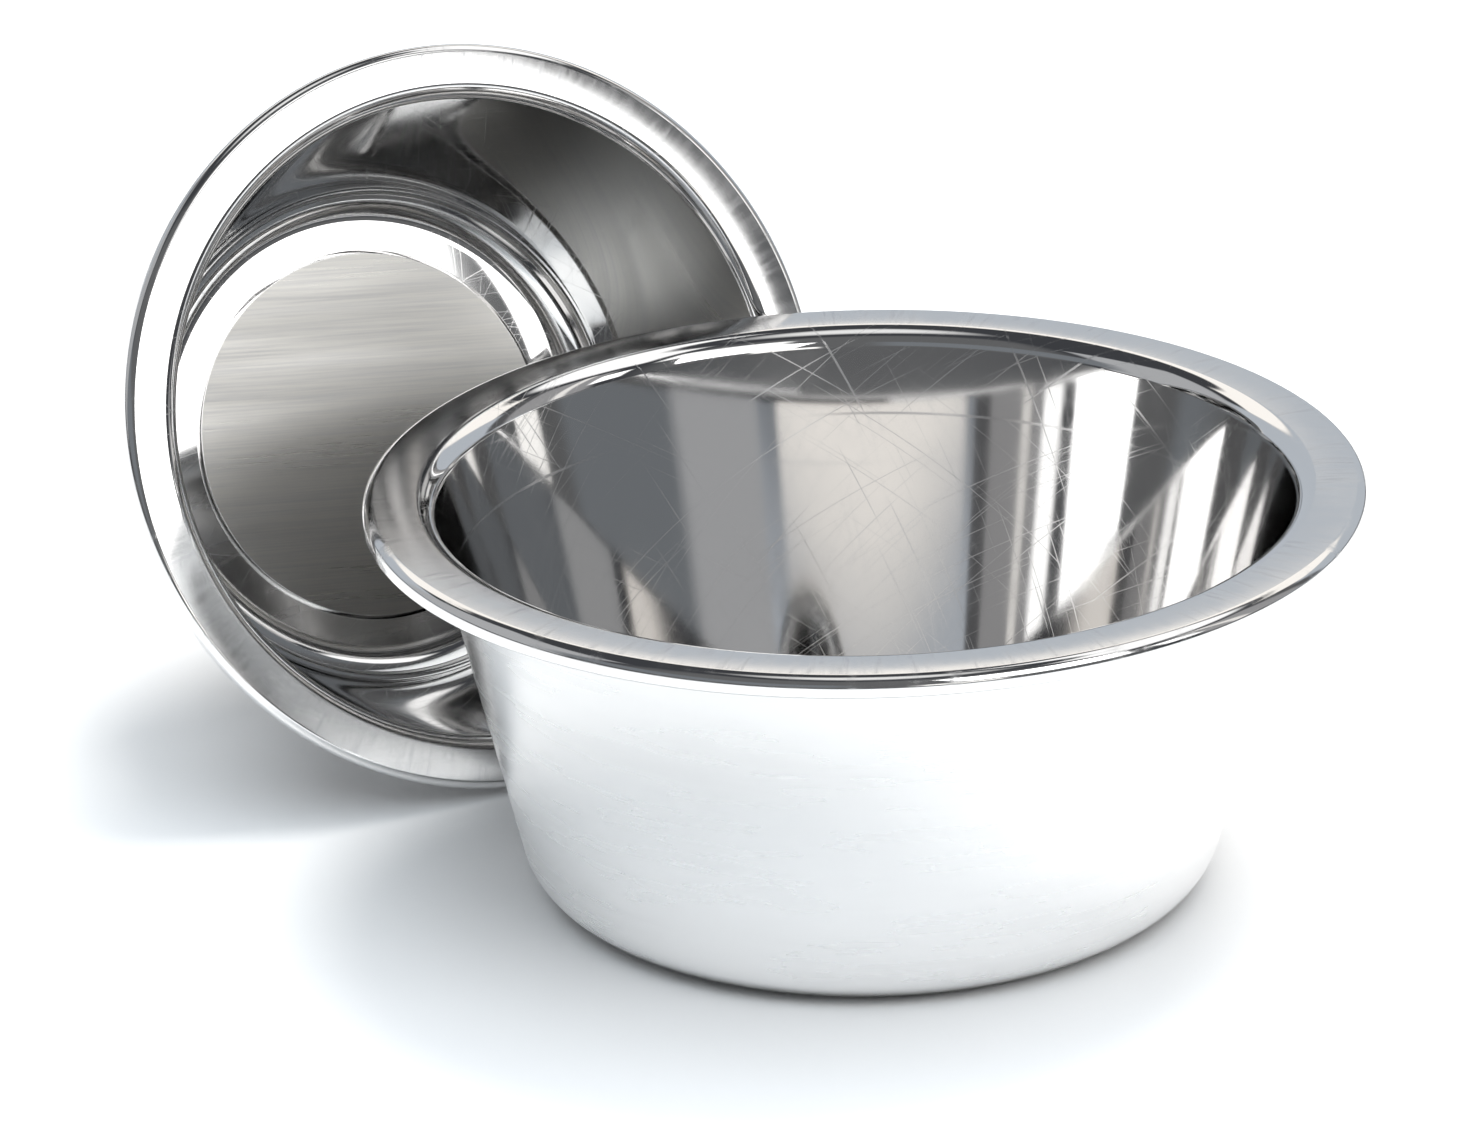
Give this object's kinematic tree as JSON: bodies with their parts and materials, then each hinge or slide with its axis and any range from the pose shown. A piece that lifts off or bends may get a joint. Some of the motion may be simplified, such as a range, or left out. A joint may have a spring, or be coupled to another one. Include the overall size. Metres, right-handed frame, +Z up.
{
  "type": "shaving bowl set",
  "caption": "Handle-less stainless shaving bowls with flat flanged rims, a smaller one lying on its side behind a larger upright one.",
  "frame": {"origin": "on the table, under the middle of the set's outline", "axes": "+Z up, out of the upright large bowl; the lying small bowl is behind it towards +Y and -X, with its mouth facing -Y and +X"},
  "size_m": [0.152, 0.1505, 0.0869],
  "materials": {
    "polished_steel": "polished stainless, mirror inside, satin flange, fine brushed disc"
  },
  "bodies": {
    "large_bowl": {"large_bowl": "polished_steel"},
    "small_bowl": {"small_bowl": "polished_steel"}
  },
  "joints": [
    {"name": "small_bowl_lift_off", "type": "slide", "parent": "large_bowl", "child": "small_bowl", "axis": [-0.5, 0.5, 0.7071], "range_m": [0, 0.12]}
  ]
}
